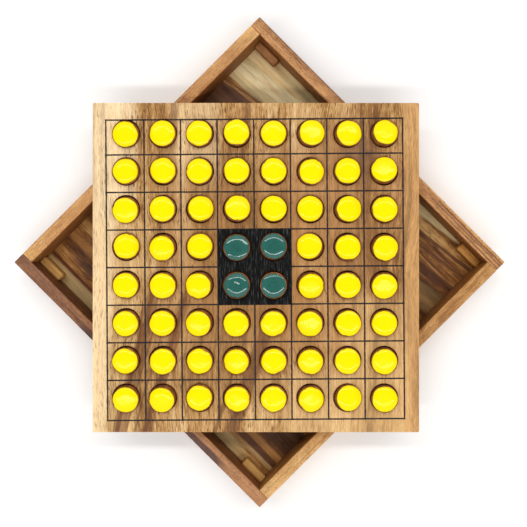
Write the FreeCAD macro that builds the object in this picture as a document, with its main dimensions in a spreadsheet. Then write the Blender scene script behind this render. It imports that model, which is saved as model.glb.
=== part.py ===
import FreeCAD, Part
import os

import Sketcher

# A wooden reversing-disc board game: an eight by eight board with a loose two-coloured disc in
# every hole, lying turned by an eighth of a turn on the open tray that it is stored in.
#
# Frame: +Z up, origin at the middle of the tray's underside, long tray walls along X.
# The board has a frame of its own, right and back, which is the tray's frame turned about Z.

COLUMNS = 8
ROWS = 8
COLUMN_LETTERS = "abcdefgh"
GOLDEN_ANGLE = 137.508  # degrees from one disc's lean in its hole to the next disc's
NEAR = 0.01  # how close, in millimetres, an edge lies to a height or a face to count as on it

# Driving sizes in millimetres, and one angle in degrees. The formulas below them follow.
SIZES = {
    "cellwidth": "25.7",
    "celldepth": "26.3",
    "marginleft": "10.7",
    "marginright": "11.7",
    "marginback": "8.5",
    "marginfront": "11.1",
    "boardthickness": "15.5",
    "discdiameter": "18.4",
    "discthickness": "9.2",
    "enamelshoulder": "2.2",
    "enameldrop": "0.8",
    "holeclearance": "0.6",
    "holedepth": "4",
    "wallthickness": "9",
    "floorthickness": "5",
    "rebatewidth": "4",
    "ledgelength": "20",
    "ledgewidth": "6",
    "storeclearance": "0.3",
    "gapends": "1",
    "gapsides": "2",
    "edgeeasing": "0.8",
    "ledgeeasing": "1",
    "boardturn": "45",
    "shiftright": "-2",
    "shiftback": "-3.5",
}
FORMULAS = {
    "boardwidth": f"=marginleft + {COLUMNS} * cellwidth + marginright",
    "boarddepth": f"=marginfront + {ROWS} * celldepth + marginback",
    "holediameter": "=discdiameter + 2 * holeclearance",
    "ledgeheight": "=discthickness + storeclearance",
    "wallheight": "=floorthickness + ledgeheight + boardthickness",
    "openinglength": "=boarddepth + 2 * gapends",
    "openingwidth": "=boardwidth + 2 * gapsides",
    "traylength": "=openinglength + 2 * wallthickness",
    "traywidth": "=openingwidth + 2 * wallthickness",
    "floorlength": "=openinglength + 2 * rebatewidth",
    "floorwidth": "=openingwidth + 2 * rebatewidth",
    "turncos": "=cos(boardturn * 1deg)",
    "turnsin": "=sin(boardturn * 1deg)",
    "boardx": "=shiftright * turncos - shiftback * turnsin",
    "boardy": "=shiftright * turnsin + shiftback * turncos",
    "discfloor": "=wallheight + boardthickness - holedepth",
    "lean": "=holeclearance / 2",
}


def make_sheet(doc):
    """Writes every size to the spreadsheet, one row each, with its name as the alias."""
    sheet = doc.addObject("Spreadsheet::Sheet", "Sizes")
    for number, (alias, content) in enumerate({**SIZES, **FORMULAS}.items(), start=1):
        sheet.set(f"A{number}", alias)
        sheet.set(f"B{number}", content)
        sheet.setAlias(f"B{number}", alias)
    doc.recompute()
    return sheet


def new_body(doc, name):
    """A PartDesign body whose label is the sub-part's name."""
    body = doc.addObject("PartDesign::Body", name)
    body.Label = name
    return body


def new_sketch(body, name, plane_role):
    """A sketch on one of the body's own origin planes."""
    plane = next(item for item in body.Origin.OriginFeatures if item.Role == plane_role)
    sketch = body.newObject("Sketcher::SketchObject", name)
    sketch.AttachmentSupport = [(plane, "")]
    sketch.MapMode = "FlatFace"
    return sketch


def bind(sketch, constraint, formula):
    """Adds a dimension and ties its value to the spreadsheet."""
    number = sketch.addConstraint(constraint)
    sketch.setExpression(f"Constraints[{number}]", formula)


def draw_rectangle(sketch, left, bottom, width, depth):
    """A rectangle whose lower left corner is left and bottom from the origin, each None for none."""
    corners = [(1, 1), (11, 1), (11, 11), (1, 11)]
    points = [FreeCAD.Vector(x, y, 0) for x, y in corners]
    for start, end in zip(points, points[1:] + points[:1]):
        sketch.addGeometry(Part.LineSegment(start, end))
    for side in range(4):
        sketch.addConstraint(Sketcher.Constraint("Coincident", side, 2, (side + 1) % 4, 1))
    for side, direction in enumerate(["Horizontal", "Vertical", "Horizontal", "Vertical"]):
        sketch.addConstraint(Sketcher.Constraint(direction, side))
    if left is None:
        sketch.addConstraint(Sketcher.Constraint("PointOnObject", 0, 1, -2))
    else:
        bind(sketch, Sketcher.Constraint("DistanceX", -1, 1, 0, 1, 1.0), left)
    if bottom is None:
        sketch.addConstraint(Sketcher.Constraint("PointOnObject", 0, 1, -1))
    else:
        bind(sketch, Sketcher.Constraint("DistanceY", -1, 1, 0, 1, 1.0), bottom)
    bind(sketch, Sketcher.Constraint("DistanceX", 0, 1, 0, 2, 10.0), width)
    bind(sketch, Sketcher.Constraint("DistanceY", 1, 1, 1, 2, 10.0), depth)


def pad(body, sketch, height):
    """Pads a sketch upwards to a height from the spreadsheet."""
    feature = body.newObject("PartDesign::Pad", f"{body.Name}_pad")
    feature.Profile = sketch
    feature.setExpression("Length", height)
    sketch.Visibility = False
    body.Document.recompute()
    return feature


def pocket(body, sketch, depth, upwards):
    """Cuts a sketch into the body, and makes sure that wood was removed."""
    volume_before = body.Shape.Volume
    feature = body.newObject("PartDesign::Pocket", f"{body.Name}_pocket")
    feature.Profile = sketch
    feature.Reversed = upwards
    feature.setExpression("Length", depth)
    sketch.Visibility = False
    body.Document.recompute()
    if body.Shape.Volume >= volume_before:
        raise ValueError(f"{body.Label}: the pocket cut nothing")
    return feature


def ease(body, radius, chosen):
    """Rounds the edges that the test picks, by a radius from the spreadsheet."""
    sharp = body.Tip
    edges = [f"Edge{n}" for n, edge in enumerate(sharp.Shape.Edges, start=1) if chosen(edge.BoundBox)]
    fillet = body.newObject("PartDesign::Fillet", f"{body.Name}_easing")
    fillet.Base = (sharp, edges)
    fillet.setExpression("Radius", radius)
    body.Document.recompute()


def place(feature, x, y, z, turn=None):
    """Ties a sub-part's place to the spreadsheet, and its turn about Z in degrees."""
    for axis, formula in zip("xyz", (x, y, z)):
        feature.setExpression(f"Placement.Base.{axis}", formula)
    if turn is not None:
        feature.Placement.Rotation = FreeCAD.Rotation(FreeCAD.Vector(0, 0, 1), 1)
        feature.setExpression("Placement.Rotation.Angle", turn)


def lies_at(box, height):
    """True if an edge, given by its box, runs level at a height."""
    return abs(box.ZMin - height) < NEAR and abs(box.ZMax - height) < NEAR


def make_long_wall(doc, name, x, y, turn):
    """A wall that runs the tray's full length, with a stopped rebate for the floor panel."""
    body = new_body(doc, name)
    outline = new_sketch(body, f"{name}_outline", "XY_Plane")
    draw_rectangle(outline, None, None, "Sizes.traylength", "Sizes.wallthickness")
    pad(body, outline, "Sizes.wallheight")
    rebate = new_sketch(body, f"{name}_rebate", "XY_Plane")
    solid_end = "Sizes.wallthickness - Sizes.rebatewidth"
    draw_rectangle(rebate, solid_end, solid_end, "Sizes.floorlength", "Sizes.rebatewidth")
    pocket(body, rebate, "Sizes.floorthickness", upwards=True)
    top = body.Shape.BoundBox.ZMax
    length = body.Shape.BoundBox.XMax

    def outer(box):
        inner = box.YMin > NEAR
        at_an_end = box.XMax < NEAR or box.XMin > length - NEAR
        upright_corner = box.YMax < NEAR and at_an_end
        return (lies_at(box, top) and not inner) or upright_corner

    ease(body, "Sizes.edgeeasing", outer)
    place(body, x, y, "0", turn)
    return body


def make_short_wall(doc, name, x, y, turn):
    """A wall that stands between the long walls, with its rebate cut right through."""
    body = new_body(doc, name)
    outline = new_sketch(body, f"{name}_outline", "XY_Plane")
    draw_rectangle(outline, None, None, "Sizes.openingwidth", "Sizes.wallthickness")
    pad(body, outline, "Sizes.wallheight")
    rebate = new_sketch(body, f"{name}_rebate", "XY_Plane")
    solid_side = "Sizes.wallthickness - Sizes.rebatewidth"
    draw_rectangle(rebate, None, solid_side, "Sizes.openingwidth", "Sizes.rebatewidth")
    pocket(body, rebate, "Sizes.floorthickness", upwards=True)
    top = body.Shape.BoundBox.ZMax

    def outer(box):
        return lies_at(box, top) and box.YMax < NEAR

    ease(body, "Sizes.edgeeasing", outer)
    place(body, x, y, "0", turn)
    return body


def make_floor(doc):
    """The floor panel, which lies in the rebates of all four walls."""
    body = new_body(doc, "tray_floor")
    outline = new_sketch(body, "tray_floor_outline", "XY_Plane")
    draw_rectangle(outline, None, None, "Sizes.floorlength", "Sizes.floorwidth")
    pad(body, outline, "Sizes.floorthickness")
    place(body, "-Sizes.floorlength / 2", "-Sizes.floorwidth / 2", "0")
    return body


def make_ledge(doc, name, x_side, y_side):
    """A block in one corner of the tray, which carries the board when it is stored."""
    body = new_body(doc, name)
    outline = new_sketch(body, f"{name}_outline", "XY_Plane")
    draw_rectangle(outline, None, None, "Sizes.ledgelength", "Sizes.ledgewidth")
    pad(body, outline, "Sizes.ledgeheight")
    top = body.Shape.BoundBox.ZMax
    ease(body, "Sizes.ledgeeasing", lambda box: lies_at(box, top))
    x = "Sizes.openinglength / 2 - Sizes.ledgelength" if x_side > 0 else "-Sizes.openinglength / 2"
    y = "Sizes.openingwidth / 2 - Sizes.ledgewidth" if y_side > 0 else "-Sizes.openingwidth / 2"
    place(body, x, y, "Sizes.floorthickness")
    return body


def turned_place(right, back):
    """The tray-frame x and y of a place given from the board's middle, right and back on it."""
    x = f"Sizes.boardx + {right} * Sizes.turncos - {back} * Sizes.turnsin"
    y = f"Sizes.boardy + {right} * Sizes.turnsin + {back} * Sizes.turncos"
    return x, y


def make_board(doc):
    """The playing board: one solid panel with a blind hole in each cell."""
    body = new_body(doc, "board")
    outline = new_sketch(body, "board_outline", "XY_Plane")
    draw_rectangle(outline, None, None, "Sizes.boardwidth", "Sizes.boarddepth")
    pad(body, outline, "Sizes.boardthickness")
    top = body.Shape.BoundBox.ZMax

    def top_or_corner(box):
        return lies_at(box, top) or box.ZLength > top - NEAR

    ease(body, "Sizes.edgeeasing", top_or_corner)

    mouth = new_sketch(body, "board_first_hole", "XY_Plane")
    mouth.setExpression("AttachmentOffset.Base.z", "Sizes.boardthickness")
    centre = FreeCAD.Vector(20, 20, 0)
    mouth.addGeometry(Part.Circle(centre, FreeCAD.Vector(0, 0, 1), 5))
    bind(mouth, Sketcher.Constraint("Diameter", 0, 10.0), "Sizes.holediameter")
    first_x = "Sizes.marginleft + Sizes.cellwidth / 2"
    first_y = "Sizes.marginfront + Sizes.celldepth / 2"
    bind(mouth, Sketcher.Constraint("DistanceX", -1, 1, 0, 3, 20.0), first_x)
    bind(mouth, Sketcher.Constraint("DistanceY", -1, 1, 0, 3, 20.0), first_y)
    hole = pocket(body, mouth, "Sizes.holedepth", upwards=False)

    grid = body.newObject("PartDesign::LinearPattern", "board_holes")
    grid.Originals = [hole]
    grid.Direction = (mouth, ["H_Axis"])
    grid.Occurrences = COLUMNS
    grid.setExpression("Length", f"{COLUMNS - 1} * Sizes.cellwidth")
    grid.Direction2 = (mouth, ["V_Axis"])
    grid.Occurrences2 = ROWS
    grid.setExpression("Length2", f"{ROWS - 1} * Sizes.celldepth")
    body.Tip = grid

    x, y = turned_place("(-Sizes.boardwidth / 2)", "(-Sizes.boarddepth / 2)")
    place(body, x, y, "Sizes.wallheight", "Sizes.boardturn * 1deg")
    return body


def draw_disc_profile(sketch):
    """Half of a disc's section: flat faces, and an enamel shoulder that falls to the side.

    The points are only a rough start, from the foot of the axis round to its head.
    """
    outline = [(0, 0), (7, 0), (8.2, 0.3), (9, 0.8), (9, 8.2), (8.2, 8.7), (7, 9), (0, 9)]
    foot, low, low_bend, side_low, side_high, high_bend, high, head = [
        FreeCAD.Vector(x, z, 0) for x, z in outline
    ]
    sketch.addGeometry(Part.LineSegment(foot, low))
    sketch.addGeometry(Part.Arc(low, low_bend, side_low))
    sketch.addGeometry(Part.LineSegment(side_low, side_high))
    sketch.addGeometry(Part.Arc(side_high, high_bend, high))
    sketch.addGeometry(Part.LineSegment(high, head))
    sketch.addGeometry(Part.LineSegment(head, foot))
    rules = [
        ("Coincident", 0, 1, -1, 1),
        ("Horizontal", 0),
        ("Tangent", 0, 2, 1, 1),
        ("Coincident", 1, 2, 2, 1),
        ("Vertical", 2),
        ("Coincident", 2, 2, 3, 1),
        ("Tangent", 3, 2, 4, 1),
        ("Horizontal", 4),
        ("Coincident", 4, 2, 5, 1),
        ("PointOnObject", 4, 2, -2),
        ("Coincident", 5, 2, 0, 1),
        ("Equal", 0, 4),
    ]
    for rule in rules:
        sketch.addConstraint(Sketcher.Constraint(*rule))
    radius = "Sizes.discdiameter / 2"
    flat = f"{radius} - Sizes.enamelshoulder"
    bind(sketch, Sketcher.Constraint("DistanceX", 0, 1, 0, 2, 7.0), flat)
    bind(sketch, Sketcher.Constraint("DistanceX", 0, 1, 2, 1, 9.0), radius)
    bind(sketch, Sketcher.Constraint("DistanceY", 0, 1, 1, 2, 0.8), "Sizes.enameldrop")
    bind(sketch, Sketcher.Constraint("DistanceY", 2, 2, 4, 2, 0.8), "Sizes.enameldrop")
    bind(sketch, Sketcher.Constraint("DistanceY", 0, 1, 4, 2, 9.0), "Sizes.discthickness")


def cell_name(column, row):
    """A cell's name, such as c5: its column's letter and its row's number from the front."""
    return f"{COLUMN_LETTERS[column]}{row + 1}"


def make_disc(doc, name, column, row):
    """One loose disc in its hole, leaning to its own side of the hole's clearance."""
    body = new_body(doc, name)
    profile = new_sketch(body, f"{name}_profile", "XZ_Plane")
    draw_disc_profile(profile)
    turned = body.newObject("PartDesign::Revolution", f"{name}_turned")
    turned.Profile = profile
    turned.ReferenceAxis = (profile, ["V_Axis"])
    turned.Angle = 360
    profile.Visibility = False

    side = (row * COLUMNS + column) * GOLDEN_ANGLE
    right = (
        f"(Sizes.marginleft + {column + 0.5} * Sizes.cellwidth - Sizes.boardwidth / 2"
        f" + Sizes.lean * cos({side} * 1deg))"
    )
    back = (
        f"(Sizes.marginfront + {row + 0.5} * Sizes.celldepth - Sizes.boarddepth / 2"
        f" + Sizes.lean * sin({side} * 1deg))"
    )
    x, y = turned_place(right, back)
    place(body, x, y, "Sizes.discfloor")
    return body


def outer_ring():
    """The cells round the board's edge, in order, starting at the front left corner."""
    last = COLUMNS - 1
    front = [(column, 0) for column in range(COLUMNS)]
    right = [(last, row) for row in range(1, ROWS)]
    back = [(column, ROWS - 1) for column in range(last - 1, -1, -1)]
    left = [(0, row) for row in range(ROWS - 2, 0, -1)]
    return front + right + back + left


def make_discs(doc):
    """All discs. Neighbours round the edge share a node, to stay within the count of nodes."""
    nodes = []
    for row in range(1, ROWS - 1):
        for column in range(1, COLUMNS - 1):
            nodes.append(make_disc(doc, f"disc_{cell_name(column, row)}", column, row))
    ring = outer_ring()
    for first, second in zip(ring[::2], ring[1::2]):
        pair = [make_disc(doc, f"edge_disc_{cell_name(*cell)}", *cell) for cell in (first, second)]
        node = doc.addObject("Part::Compound", f"discs_{cell_name(*first)}_{cell_name(*second)}")
        node.Label = node.Name
        node.Links = pair
        nodes.append(node)
    return nodes


def make_tray(doc):
    """The storage tray: four butt-jointed walls, the floor panel and four corner blocks."""
    nodes = [make_floor(doc)]
    half_length = "Sizes.traylength / 2"
    half_width = "Sizes.traywidth / 2"
    half_opening = "Sizes.openingwidth / 2"
    walls = [
        (make_long_wall, "tray_wall_front", f"-{half_length}", f"-{half_width}", "0deg"),
        (make_long_wall, "tray_wall_back", half_length, half_width, "180deg"),
        (make_short_wall, "tray_wall_right", half_length, f"-{half_opening}", "90deg"),
        (make_short_wall, "tray_wall_left", f"-{half_length}", half_opening, "270deg"),
    ]
    for make_wall, name, x, y, turn in walls:
        nodes.append(make_wall(doc, name, x, y, turn))
    for y_name, y_side in (("front", -1), ("back", 1)):
        for x_name, x_side in (("left", -1), ("right", 1)):
            nodes.append(make_ledge(doc, f"ledge_block_{y_name}_{x_name}", x_side, y_side))
    return nodes


def export_nodes(doc, nodes):
    """Checks every object and every shape, then writes one file for each sub-part."""
    for item in doc.Objects:
        if "Invalid" in item.State or "Error" in item.State:
            raise ValueError(f"{item.Label} failed to build: {item.State}")
    for node in nodes:
        if node.Shape.isNull() or not node.Shape.isValid():
            raise ValueError(f"{node.Label} has no valid shape")
    os.makedirs("parts", exist_ok=True)
    for node in nodes:
        node.Shape.exportStep(f"parts/{node.Label}.step")


def main():
    doc = FreeCAD.newDocument("disc_board_game")
    make_sheet(doc)
    nodes = make_tray(doc) + [make_board(doc)] + make_discs(doc)
    doc.recompute()
    export_nodes(doc, nodes)
    print(f"{len(nodes)} nodes written")


main()
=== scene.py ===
"""A reversing-disc board game, its playing board turned on the open tray that it is stored in.

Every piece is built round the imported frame. Sizes are in millimetres unless they say otherwise,
and a piece is made in its own frame first and then laid in place.
"""

import logging
import math
import random
from dataclasses import dataclass, field, replace
from enum import Enum
from typing import Callable, Dict, Iterable, List, Optional, Sequence, Tuple, Union

import bmesh
import bpy
from mathutils import Matrix, Vector


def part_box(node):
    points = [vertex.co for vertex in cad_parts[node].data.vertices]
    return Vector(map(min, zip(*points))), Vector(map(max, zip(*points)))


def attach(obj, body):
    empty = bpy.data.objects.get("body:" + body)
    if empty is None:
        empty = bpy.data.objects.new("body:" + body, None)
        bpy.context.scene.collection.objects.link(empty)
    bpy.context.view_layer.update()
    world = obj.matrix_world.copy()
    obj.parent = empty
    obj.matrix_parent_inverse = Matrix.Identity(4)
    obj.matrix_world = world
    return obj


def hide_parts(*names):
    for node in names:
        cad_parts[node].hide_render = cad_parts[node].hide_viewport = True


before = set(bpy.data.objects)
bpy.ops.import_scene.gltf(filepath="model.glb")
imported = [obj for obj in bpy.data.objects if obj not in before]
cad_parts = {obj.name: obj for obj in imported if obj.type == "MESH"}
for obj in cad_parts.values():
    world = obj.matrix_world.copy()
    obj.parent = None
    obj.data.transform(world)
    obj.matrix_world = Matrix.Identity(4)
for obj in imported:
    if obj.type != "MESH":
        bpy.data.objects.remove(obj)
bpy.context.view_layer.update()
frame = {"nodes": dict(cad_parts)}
OWN_PLACE = "own_place"
MM = 0.001
TURN = 2 * math.pi
FAR = 2000.0  # beyond either end of every piece
Colour = Tuple[float, float, float]
Stops = Sequence[Tuple[float, Colour]]
Spot = Tuple[float, float]
Corners = List[bmesh.types.BMVert]
Value = Union["Signal", float]
log = logging.getLogger("disc_board_game")


class Grain(Enum):
    """Which way a piece's grain runs, in its own frame."""

    ALONG_X = "x"
    ALONG_Y = "y"
    ALONG_Z = "z"


class Face(Enum):
    """Which enamel a disc shows on its upper side."""

    YELLOW = "yellow"
    GREEN = "green"


# --------------------------------------------------------------------------------------- shaders


def linear(value: float) -> float:
    """One channel of a swatch, 0 to 255, as light, 0 to 1."""
    share = value / 255.0
    return share / 12.92 if share <= 0.04045 else ((share + 0.055) / 1.055) ** 2.4


def paint(*swatch: float) -> Colour:
    """A swatch's red, green and blue, 0 to 255, as a linear colour."""
    return tuple(linear(value) for value in swatch)


def tones(*swatches: Colour) -> Stops:
    """Four swatches of one wood, darkest to palest, as ramp stops."""
    return tuple(zip((0.15, 0.4, 0.6, 0.85), (paint(*swatch) for swatch in swatches)))


class Signal:
    """One output socket of a shader, with arithmetic.

    Numbers go through Math nodes, and colours and vectors through Mix and Vector Math nodes.
    """

    def __init__(self, shader: "Shader", socket: Optional[bpy.types.NodeSocket]) -> None:
        """Keeps the shader and the socket."""
        self.shader = shader
        self.socket = socket

    def _maths(self, operation: str, *values: Value) -> "Signal":
        """Adds one Math node, or one Vector Math node where this is a vector."""
        kind = "ShaderNodeMath" if self.socket.type == "VALUE" else "ShaderNodeVectorMath"
        return self.shader.node(kind, {"operation": operation}, dict(enumerate(values)))

    def __add__(self, other: Value) -> "Signal":
        """This plus another."""
        return self._maths("ADD", self, other)

    __radd__ = __add__

    def __sub__(self, other: Value) -> "Signal":
        """This less another."""
        return self._maths("SUBTRACT", self, other)

    def __rsub__(self, other: float) -> "Signal":
        """A plain number less this."""
        return self._maths("SUBTRACT", other, self)

    def __mul__(self, other: Value) -> "Signal":
        """This times another."""
        return self._maths("MULTIPLY", self, other)

    __rmul__ = __mul__

    def __truediv__(self, other: Value) -> "Signal":
        """This divided by another."""
        return self._maths("DIVIDE", self, other)

    def __abs__(self) -> "Signal":
        """The distance from nought."""
        return self._maths("ABSOLUTE", self)

    def __pow__(self, power: float) -> "Signal":
        """This to a power."""
        return self._maths("POWER", self, power)

    def least(self, other: Value) -> "Signal":
        """The smaller of two."""
        return self._maths("MINIMUM", self, other)

    def most(self, other: Value) -> "Signal":
        """The larger of two."""
        return self._maths("MAXIMUM", self, other)

    def step(self, low: float, high: float) -> "Signal":
        """Rises smoothly from 0 to 1.

        Args:
            low: where it leaves 0; above high, it falls instead.
            high: where it reaches 1.

        Returns:
            The share, 0 to 1.
        """
        if low > high:
            return 1 - self.step(high, low)
        settings = {"interpolation_type": "SMOOTHSTEP"}
        return self.shader.node("ShaderNodeMapRange", settings, {0: self, 1: low, 2: high})

    def _blend(self, mode: str, colour: Union["Signal", Colour], share: Value) -> "Signal":
        """Adds one colour Mix node of that blend type."""
        settings = {"data_type": "RGBA", "blend_type": mode}
        return self.shader.node("ShaderNodeMix", settings, {0: share, 6: self, 7: colour}, 2)

    def toward(self, colour: Union["Signal", Colour], share: Value) -> "Signal":
        """This colour mixed with a share of another."""
        return self._blend("MIX", colour, share)

    def times(self, colour: Union["Signal", Colour], share: Value = 1.0) -> "Signal":
        """This colour multiplied by another, by a share."""
        return self._blend("MULTIPLY", colour, share)


class Shader:
    """The nodes of a material or of the room, under construction."""

    def __init__(self, owner: Union[bpy.types.Material, bpy.types.World]) -> None:
        """Clears the nodes.

        Args:
            owner: the material, or the room's world.
        """
        owner.use_nodes = True
        self.owner = owner
        self.tree = owner.node_tree
        self.tree.nodes.clear()

    def node(
        self,
        kind: str,
        settings: Optional[Dict[str, object]] = None,
        inputs: Optional[Dict[Union[int, str], object]] = None,
        output: Union[int, str] = 0,
    ) -> Signal:
        """Adds one node.

        Args:
            kind: the node's type.
            settings: its properties, set before its sockets; "stops" gives a ramp's colour stops.
            inputs: a value or a link for each input socket, by number or name.
            output: the output socket to return, by number or name.

        Returns:
            That output, which is empty on a node with none.
        """
        made = self.tree.nodes.new(kind)
        for name, value in (settings or {}).items():
            if name == "stops":
                self._set_stops(made.color_ramp.elements, value)
            else:
                setattr(made, name, value)
        for name, value in (inputs or {}).items():
            socket = made.inputs[name]
            if isinstance(value, Signal):
                self.tree.links.new(value.socket, socket)
            elif socket.type == "RGBA" and len(value) == 3:
                socket.default_value = (*value, 1.0)
            else:
                socket.default_value = value
        return Signal(self, made.outputs[output] if made.outputs else None)

    @staticmethod
    def _set_stops(elements: bpy.types.ColorRampElements, stops: Stops) -> None:
        """Gives a ramp its colour stops.

        Args:
            elements: the ramp's own stops.
            stops: pairs of position and linear colour, in rising order.
        """
        while len(elements) < len(stops):
            elements.new(1.0)
        for element, (position, colour) in zip(elements, stops):
            element.position = position
            element.color = (*colour, 1.0)

    def place(self) -> Tuple[Signal, Signal, Signal]:
        """Reads where a point lies on the piece.

        Returns:
            Its three coordinates in the piece's own frame.
        """
        spot = self.node("ShaderNodeAttribute", {"attribute_name": OWN_PLACE}, None, "Vector")
        parts = self.node("ShaderNodeSeparateXYZ", None, {0: spot}).socket.node.outputs
        return tuple(Signal(self, part) for part in parts)

    def attribute(self, name: str) -> Signal:
        """A number that the mesh carries at each point."""
        return self.node("ShaderNodeAttribute", {"attribute_name": name}, None, "Fac")

    def noise(
        self, x: Value, y: Value, z: Value, detail: float = 2.0, roughness: float = 0.5
    ) -> Signal:
        """Soft random variation at a place, mostly between -0.5 and 0.5."""
        spot = self.node("ShaderNodeCombineXYZ", None, {0: x, 1: y, 2: z})
        inputs = {"Vector": spot, "Scale": 1.0, "Detail": detail, "Roughness": roughness}
        return self.node("ShaderNodeTexNoise", {"noise_dimensions": "3D"}, inputs) - 0.5

    def ramp(self, share: Signal, stops: Stops) -> Signal:
        """A number coloured by stops."""
        return self.node("ShaderNodeValToRGB", {"stops": stops}, {0: share})

    def surface(
        self, colour: Signal, roughness: Value, height: Optional[Signal], relief: float = 0.06,
        **constants: float,
    ) -> Signal:
        """Makes a surface.

        Args:
            colour: the base colour.
            roughness: the roughness.
            height: the relief, 0 to 1, or nothing.
            relief: how high the relief stands.
            constants: other sockets of the surface shader, by name with _ for a space.

        Returns:
            The surface.
        """
        inputs: Dict[Union[int, str], object] = {"Base Color": colour, "Roughness": roughness}
        if height is not None:
            bump = {"Strength": 1.0, "Distance": relief * MM, "Height": height}
            inputs["Normal"] = self.node("ShaderNodeBump", None, bump)
        for name, value in constants.items():
            inputs[name.replace("_", " ")] = value
        return self.node("ShaderNodeBsdfPrincipled", None, inputs)

    def close(
        self, surface: Signal, kind: str = "ShaderNodeOutputMaterial"
    ) -> Union[bpy.types.Material, bpy.types.World]:
        """The finished material or world, with this surface at its output."""
        self.node(kind, None, {"Surface": surface})
        return self.owner


@dataclass(frozen=True)
class Streak:
    """A band of another colour that runs roughly with the grain."""

    across: float  # where its middle lies across the grain, half-way along the piece
    slope: float  # how far it drifts across for each millimetre along
    width: float  # half its width
    start: float  # where it begins along the grain
    stop: float  # where it ends along the grain
    colour: Colour  # its swatch
    strength: float = 0.8  # how strongly it shows, 0 to 1
    ragged: float = 3.0  # how far its edges wander
    soft: float = 2.6  # how wide its edges are
    over: bool = False  # whether it also hides the pores
    tilt: float = 0.0  # how far it drifts across for each millimetre below the top


@dataclass(frozen=True)
class Cut:
    """Where a point lies in a piece of wood."""

    shader: Shader
    along: Signal  # along the grain
    far: Signal  # along the grain, moved on by the piece's seed
    across: Signal  # across the grain
    deep: Signal  # how high in the piece
    seed: float

    def noise(
        self, sizes: Sequence[float], detail: float = 2.0, roughness: float = 0.5,
        across: Optional[Signal] = None,
    ) -> Signal:
        """Finds variation that is drawn out with the grain.

        Args:
            sizes: how long it is along the grain, across it and in depth.
            detail: how many finer layers lie on it.
            roughness: how strong those layers are.
            across: the place across the grain, where that isn't the cut's own.

        Returns:
            A number, mostly between -0.5 and 0.5.
        """
        side = (self.across if across is None else across) / sizes[1]
        deep = self.deep / sizes[2] + self.seed
        return self.shader.noise(self.far / sizes[0], side, deep, detail, roughness)


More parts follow.
